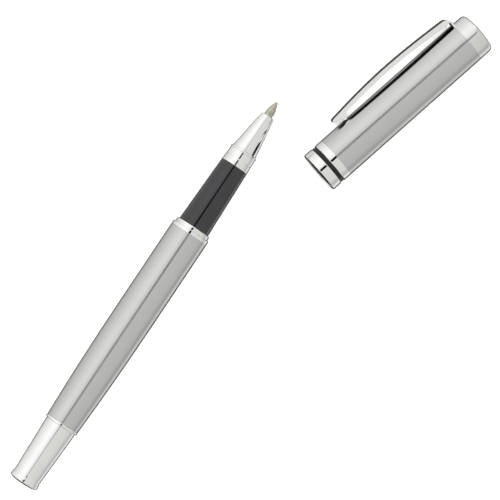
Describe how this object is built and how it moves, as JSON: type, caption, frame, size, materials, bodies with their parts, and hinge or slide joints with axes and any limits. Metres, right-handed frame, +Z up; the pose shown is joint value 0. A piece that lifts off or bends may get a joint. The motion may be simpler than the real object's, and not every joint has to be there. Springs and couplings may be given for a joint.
{
  "type": "rollerball pen",
  "caption": "Metal rollerball pen lying uncapped beside its cap, with a satin barrel, gloss grip, polished rings and a sprung pocket clip.",
  "frame": {"origin": "centre of the bounding box's base, on the surface that the pen and the cap lie on", "axes": "+Z up, +X along the cap from its mouth to its crown; the pen lies 14.68 degrees round from +X, its tip towards +X and +Y"},
  "size_m": [0.171, 0.0354, 0.012],
  "materials": {
    "satin_metal": "fine satin, brushed round",
    "polished_chrome": "mirror polished",
    "black_lacquer": "high gloss",
    "brass": "turned",
    "spring_steel": "drawn wire",
    "nickel_silver": "turned",
    "carbide": "polished",
    "white_plastic": "moulded",
    "dark_plastic": "moulded",
    "ink_fibre": "felted fibre, wet with ink"
  },
  "bodies": {
    "barrel": {"barrel_tube": "satin_metal", "tail_sleeve": "polished_chrome", "tail_ring": "polished_chrome", "rear_bush": "brass", "barrel_insert": "brass", "refill_spring": "spring_steel"},
    "section_ring": {"front_ring": "polished_chrome"},
    "section": {"section_core": "brass", "grip_sleeve": "black_lacquer", "nose_collar": "polished_chrome", "nose_bead": "polished_chrome", "nose_cone": "polished_chrome"},
    "refill": {"refill_tube": "white_plastic", "refill_plug": "dark_plastic", "ink_reservoir": "ink_fibre", "refill_nose": "dark_plastic", "feed_rod": "ink_fibre", "refill_tip": "nickel_silver"},
    "ball": {"writing_ball": "carbide"},
    "cap": {"lip_ring": "polished_chrome", "black_ring": "black_lacquer", "upper_ring": "polished_chrome", "mouth_bush": "dark_plastic", "cap_tube": "satin_metal", "inner_cap": "dark_plastic", "end_plug": "brass", "crown_screw": "spring_steel", "clip_ring": "polished_chrome", "crown": "polished_chrome"},
    "clip": {"clip": "polished_chrome"}
  },
  "joints": [
    {"name": "section_advance", "type": "slide", "parent": "barrel", "child": "section_ring", "axis": [0.9674, 0.2534, 0], "range_m": [0, 0.00637]},
    {"name": "section_turn", "type": "hinge", "parent": "section_ring", "child": "section", "pos_m": [-0.00811, 0.00625, 0.0055], "axis": [0.9674, 0.2534, 0], "range_deg": [0, 3060]},
    {"name": "refill_push", "type": "slide", "parent": "section", "child": "refill", "axis": [-0.9674, -0.2534, 0], "range_m": [0, 0.0012], "stiffness_N_per_m": 300, "springref_m": -0.002, "deforming": ["refill_spring"]},
    {"name": "ball_roll", "type": "hinge", "parent": "refill", "child": "ball", "pos_m": [0.03252, 0.01689, 0.0055], "axis": [-0.2534, 0.9674, 0], "continuous": true},
    {"name": "cap_swing", "type": "hinge", "parent": "barrel", "child": "cap", "pos_m": [-0.06031, 0.08461, 0.006], "axis": [0, 0, 1], "range_deg": [0, 14.68]},
    {"name": "clip_flex", "type": "hinge", "parent": "cap", "child": "clip", "pos_m": [0.08134, 0.00065, 0.00689], "axis": [0, 0.1736, -0.9848], "range_deg": [0, 3], "stiffness_Nm_per_rad": 3}
  ],
  "couplings": [
    {"joint": "section_turn", "follows": "section_advance", "rad_per_m": 8377.6}
  ]
}
